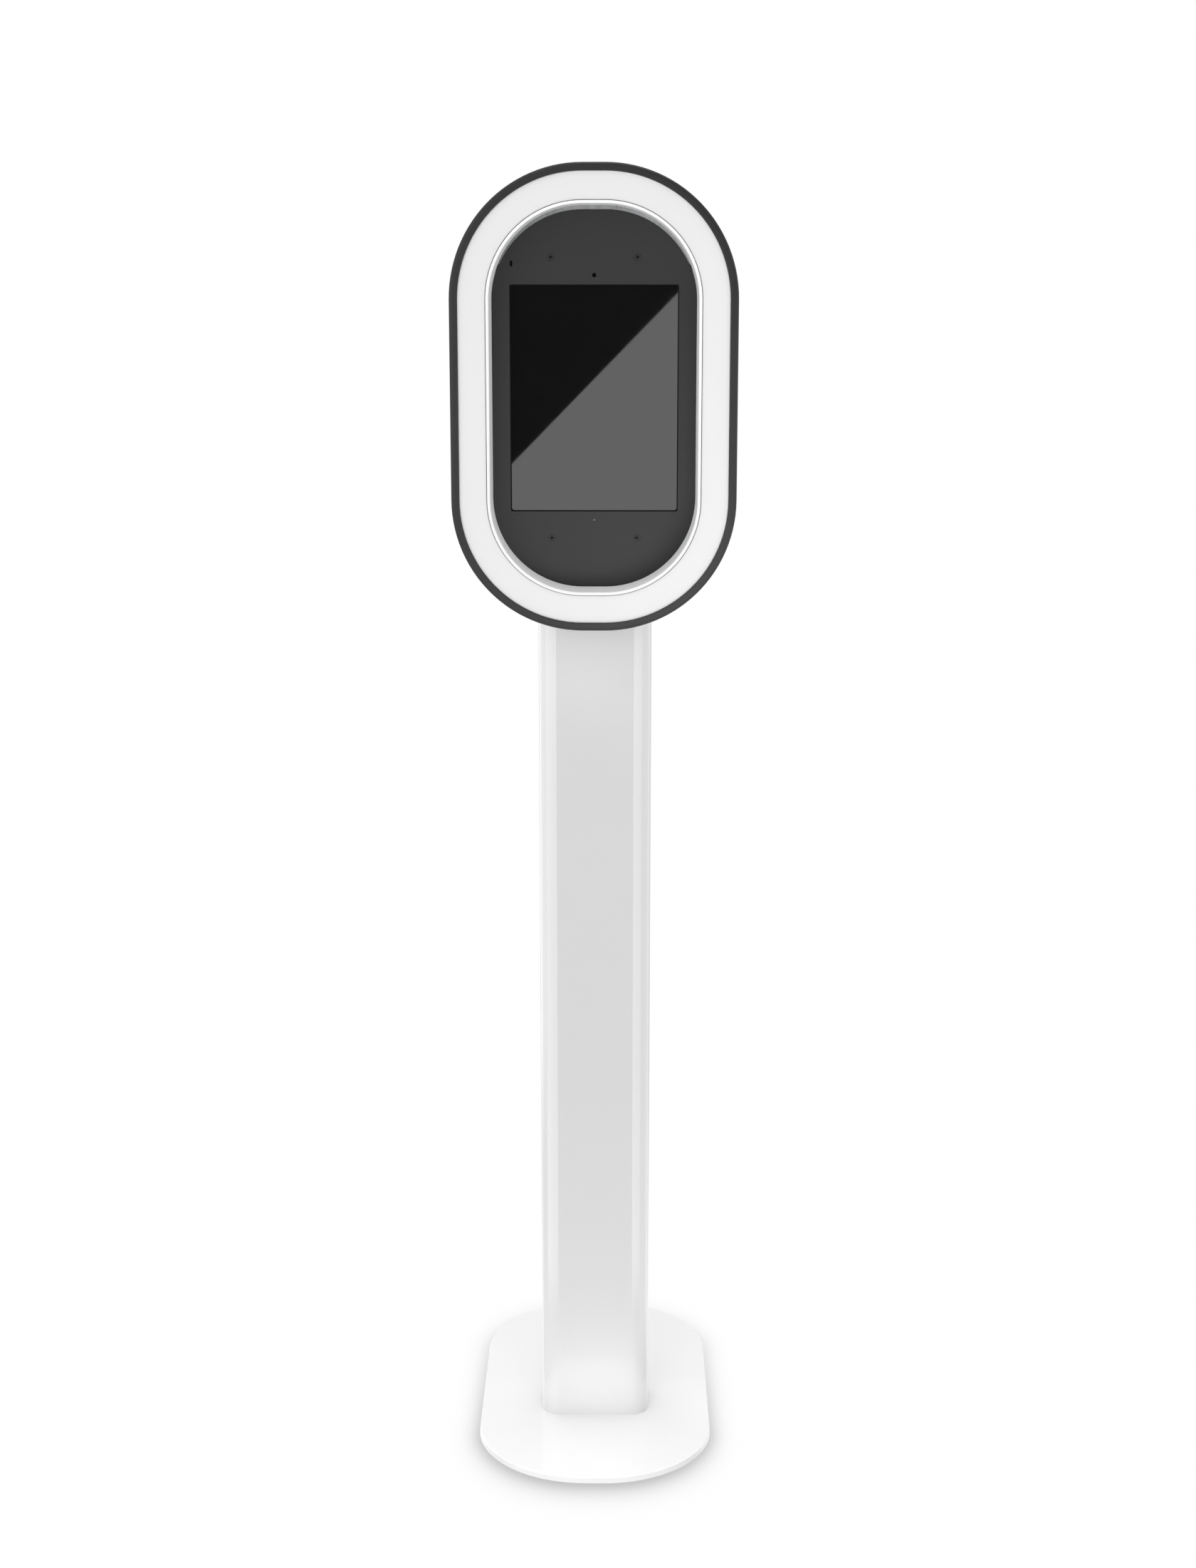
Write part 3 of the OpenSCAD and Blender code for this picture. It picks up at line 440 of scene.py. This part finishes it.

# painted shade: a black strip at the bottom of the groove between the diffuser and the lip,
# standing in for the shade in the groove
GROOVE_SHADE_OUTER, GROOVE_SHADE_INNER = LIP_INSET - 0.36 * MM, LIP_INSET - 0.04 * MM
GROOVE_SHADE_FRONT, GROOVE_SHADE_BACK = 1.7 * MM, 4.5 * MM
head_band("groove_shade_strip", [(GROOVE_SHADE_OUTER, GROOVE_SHADE_FRONT), (GROOVE_SHADE_INNER, GROOVE_SHADE_FRONT),
                          (GROOVE_SHADE_INNER, GROOVE_SHADE_BACK), (GROOVE_SHADE_OUTER, GROOVE_SHADE_BACK)],
          "head", "black_rubber")

# painted shade: a black sheet behind the small slot beside the upper left screw, standing in for
# the shade inside the slot
plate_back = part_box("face_plate")[1].y
chassis_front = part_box("chassis_plate")[0].y
SLOT_X, SLOT_Z = -0.0958, 0.1543  # from the head's centre
SLOT_SHADE_W, SLOT_SHADE_H, SLOT_SHADE_R, SLOT_SHADE_STEPS, SLOT_SHADE_GAP = 0.009, 0.013, 0.003, 6, 0.03 * MM
slot_shade_outline = outline(SLOT_SHADE_W, SLOT_SHADE_H, SLOT_SHADE_R, SLOT_SHADE_STEPS)
verts = [(SLOT_X + x, y, HEAD_Z + SLOT_Z + z)
         for y in (plate_back + SLOT_SHADE_GAP, chassis_front - SLOT_SHADE_GAP) for x, z in slot_shade_outline]
count = len(slot_shade_outline)
faces = [tuple(range(count)), tuple(range(2 * count - 1, count - 1, -1))]
faces += loop_faces(2, count)[:count]
piece("slot_shade_sheet", verts, faces, "head", "black_rubber", smooth=False)


# ---- floor, backdrop and light ----
def emitter(name, strength, mask=None):
    """A plain white emission, which a mask may darken as the camera sees it."""
    made = bpy.data.materials.new(name)
    made.use_nodes = True
    tree = made.node_tree
    tree.nodes.clear()
    out = node(tree, "ShaderNodeOutputMaterial")
    glow = node(tree, "ShaderNodeEmission", Strength=strength)
    tree.links.new(glow.outputs[0], out.inputs["Surface"])
    if mask:
        seen = node(tree, "ShaderNodeEmission")
        tree.links.new(mask(tree), seen.inputs["Strength"])
        either = node(tree, "ShaderNodeMixShader")
        tree.links.new(node(tree, "ShaderNodeLightPath").outputs["Is Camera Ray"], either.inputs[0])
        tree.links.new(glow.outputs[0], either.inputs[1])
        tree.links.new(seen.outputs[0], either.inputs[2])
        tree.links.new(either.outputs[0], out.inputs["Surface"])
    return made


FLOOR_HALF = 8.0
FLOOR_DROP = 0.3 * MM
# contact shade on the floor: its depth before and behind the plate, how far it reaches beside
# the plate, how much further it reaches lengthways, and how fast it falls off
SHADE_FRONT = 0.43
SHADE_REAR = 0.13
SHADE_REACH = 0.019
SHADE_LONGER = 1.1
SHADE_POWER = 1.35
SHADE_FALL = -1.6
base_low, base_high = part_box("base_plate")
BASE_R = 0.1385  # corner radius of the floor plate


def math_node(tree, operation, a, b=None):
    """The result of a Math node on one or two values or links."""
    made = node(tree, "ShaderNodeMath", operation=operation)
    for i, value in enumerate([a, b]):
        if value is None:
            continue
        if isinstance(value, (int, float)):
            made.inputs[i].default_value = value
        else:
            tree.links.new(value, made.inputs[i])
    return made.outputs[0]


def floor_mask(tree):
    """White floor, darker close round the floor plate, where the plate keeps the light off."""
    coords = node(tree, "ShaderNodeTexCoord").outputs["Object"]
    split = node(tree, "ShaderNodeSeparateXYZ")
    tree.links.new(coords, split.inputs[0])

    def past(axis, half):
        beyond = math_node(tree, "SUBTRACT",
                           math_node(tree, "ABSOLUTE", split.outputs[axis]), half)
        return math_node(tree, "MAXIMUM", beyond, 0.0)

    def square(value):
        return math_node(tree, "MULTIPLY", value, value)

    dx = past(0, (base_high.x - base_low.x) / 2 - BASE_R)
    dy = past(1, (base_high.y - base_low.y) / 2 - BASE_R)
    far = math_node(tree, "SQRT", math_node(tree, "ADD", square(dx), square(dy)))
    away = math_node(tree, "MAXIMUM", math_node(tree, "SUBTRACT", far, BASE_R), 0.0)
    # the shade reaches further in front of and behind the plate than beside it
    lengthways = math_node(tree, "DIVIDE", dy, math_node(tree, "MAXIMUM", far, 0.001))
    longer = math_node(tree, "MULTIPLY", square(lengthways), SHADE_LONGER * SHADE_REACH)
    reach = math_node(tree, "ADD", longer, SHADE_REACH)
    steep = math_node(tree, "POWER", math_node(tree, "DIVIDE", away, reach), SHADE_POWER)
    fall = math_node(tree, "EXPONENT", math_node(tree, "MULTIPLY", steep, SHADE_FALL))
    deep = ramp(tree, split.outputs[1], SHADE_FRONT, SHADE_REAR, base_low.y, base_high.y)
    return math_node(tree, "SUBTRACT", 1.0, math_node(tree, "MULTIPLY", fall, deep))


mesh = bpy.data.meshes.new("floor")
mesh.from_pydata([(sx * FLOOR_HALF, sy * FLOOR_HALF, -FLOOR_DROP)
                  for sx, sy in ((-1, -1), (1, -1), (1, 1), (-1, 1))], [], [(0, 1, 2, 3)])
floor = bpy.data.objects.new("floor", mesh)
scene.collection.objects.link(floor)
mesh.materials.append(emitter("floor_white", LIGHT["floor"], floor_mask))
floor.visible_glossy = False

# the camera sees plain white, and everything else sees the panels
BACK_FROM, BACK_SOFT = 125, 50
world = bpy.data.worlds.new("studio")
scene.world = world
world.use_nodes = True
tree = world.node_tree
tree.nodes.clear()
sky = node(tree, "ShaderNodeBackground")
seen = node(tree, "ShaderNodeBackground", Strength=1.0)
mix = node(tree, "ShaderNodeMixShader")
out = node(tree, "ShaderNodeOutputWorld")
tree.links.new(node(tree, "ShaderNodeLightPath").outputs["Is Camera Ray"], mix.inputs[0])
tree.links.new(sky.outputs[0], mix.inputs[1])
tree.links.new(seen.outputs[0], mix.inputs[2])
tree.links.new(mix.outputs[0], out.inputs[0])
for background in (sky, seen):
    background.inputs["Color"].default_value = PURE_WHITE
direction = node(tree, "ShaderNodeSeparateXYZ")
tree.links.new(node(tree, "ShaderNodeTexCoord").outputs["Generated"], direction.inputs[0])
DEGREES = 180 / math.pi
forward = math_node(tree, "MULTIPLY", direction.outputs[1], -1.0)
azimuth = math_node(tree, "MULTIPLY",
                    math_node(tree, "ARCTAN2", direction.outputs[0], forward), DEGREES)
elevation = math_node(tree, "MULTIPLY",
                      math_node(tree, "ARCSINE", direction.outputs[2]), DEGREES)


def step(value, at, soft, rising=True):
    """A smooth step in the world's tree, from 0 to 1 if rising and from 1 to 0 if not."""
    made = node(tree, "ShaderNodeMapRange", interpolation_type="SMOOTHSTEP")
    made.inputs["From Min"].default_value = at - soft / 2
    made.inputs["From Max"].default_value = at + soft / 2
    made.inputs["To Min"].default_value = 0.0 if rising else 1.0
    made.inputs["To Max"].default_value = 1.0 if rising else 0.0
    tree.links.new(value, made.inputs["Value"])
    return made.outputs["Result"]


behind = step(math_node(tree, "ABSOLUTE", azimuth), BACK_FROM, BACK_SOFT)
total = math_node(tree, "ADD", LIGHT["front_dark"],
                  math_node(tree, "MULTIPLY", behind, LIGHT["back"]))
for name, (a0, a1, e0, e1, soft) in PANELS.items():
    mask = step(elevation, e0, soft)
    if e1 < 90:
        mask = math_node(tree, "MULTIPLY", mask, step(elevation, e1, soft, False))
    if a1 - a0 < 360:
        sides = math_node(tree, "MULTIPLY", step(azimuth, a0, soft),
                          step(azimuth, a1, soft, False))
        mask = math_node(tree, "MULTIPLY", mask, sides)
    total = math_node(tree, "ADD", total, math_node(tree, "MULTIPLY", mask, LIGHT[name]))
tree.links.new(total, sky.inputs["Strength"])


def softbox(name, place, target, size, power):
    """A rectangular lamp at a place that faces a target, not seen itself or in reflections."""
    lamp = bpy.data.lights.new(name, "AREA")
    lamp.shape = "RECTANGLE"
    lamp.size, lamp.size_y = size
    lamp.energy = power
    obj = bpy.data.objects.new(name, lamp)
    scene.collection.objects.link(obj)
    obj.location = place
    obj.rotation_mode = "QUATERNION"
    obj.rotation_quaternion = (Vector(target) - Vector(place)).to_track_quat("-Z", "Y")
    obj.visible_camera = obj.visible_glossy = False
    return obj


def light_only(obj, *names):
    """Keeps a light or a card to the named CAD nodes."""
    receivers = bpy.data.collections.new(obj.name + "_receivers")
    for name in names:
        receivers.objects.link(NODES[name])
    obj.light_linking.receiver_collection = receivers


HEAD_FRONT = ("front_frame", "face_plate", "face_screws")
# each lamp: place, target, size and the nodes it lights, or all if none is named
SOFTBOXES = {
    "key": ((1.9, -2.6, 2.3), (0, 0, 1.2), (1.2, 1.2), ()),
    "head_low": ((0.42, -0.80, 0.86), (0, 0, 1.3), (0.3, 0.3), ("diffuser_ring",) + HEAD_FRONT),
    "dark_low": ((0.15, -0.75, 1.0), (0, -0.16, 1.25), (0.3, 0.3), HEAD_FRONT),
    "bezel": ((0.7, -1.2, 1.9), (0, -0.2, 1.3), (0.4, 0.4), ("inner_bezel",)),
    "neck": ((0, -0.30, 1.07), (0, 0, 1.07), (0.15, 0.05), ("post_tube",)),
    "base_front": ((0, -0.95, 0.25), (0, -0.15, 0), (0.6, 0.1), ("base_plate",)),
    "base_top": ((0, -1.2, 1.6), (0, 0, 0), (1.0, 0.5), ("base_plate",)),
    "foot": ((0, -0.19, 0.03), (0, 0, 0.10), (0.15, 0.05), ("post_tube",)),
}
for name, (place, target, size, lit) in SOFTBOXES.items():
    lamp = softbox(name, place, target, size, LIGHT[name])
    if lit:
        light_only(lamp, *lit)

# ---- camera ----
CAM = Vector((0.0277, -2.9409, 1.4840))
CAM_SENSOR, CAM_LENS = 36, 54.1435
CAM_DOWN, CAM_TURN = 12.3737, 0.4797  # degrees
camera = bpy.data.objects.new("camera", bpy.data.cameras.new("camera"))
scene.collection.objects.link(camera)
camera.data.sensor_width = CAM_SENSOR
camera.data.lens = CAM_LENS
camera.location = CAM
camera.rotation_euler = (math.radians(90 - CAM_DOWN), 0, math.radians(CAM_TURN))
camera.data.clip_end = 60
scene.camera = camera

# ---- a bright card behind the camera that only the screen's glass mirrors ----
glass_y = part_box("tablet_glass")[0].y
CARD_Y = -3.6
# where the card's corners show on the glass, from the head's centre
CARD_ON_GLASS = ((0.158, 0.1836), (0.158, -0.22), (-0.158, -0.22), (-0.158, -0.1378))
# a ray's length from the camera by way of the glass to the card, over its length to the glass
reach = (CAM.y - glass_y + CARD_Y - glass_y) / (CAM.y - glass_y)
corners = []
for x, z in CARD_ON_GLASS:
    corners.append((CAM.x + (x - CAM.x) * reach, CARD_Y, CAM.z + (HEAD_Z + z - CAM.z) * reach))
mesh = bpy.data.meshes.new("card")
mesh.from_pydata(corners, [], [(0, 1, 2, 3)])
card = bpy.data.objects.new("card", mesh)
scene.collection.objects.link(card)
mesh.materials.append(emitter("card_white", LIGHT["card"]))
card.visible_camera = card.visible_diffuse = card.visible_shadow = False
light_only(card, "tablet_glass", "home_button")

scene.view_settings.view_transform = "Standard"
scene.view_settings.look = "None"
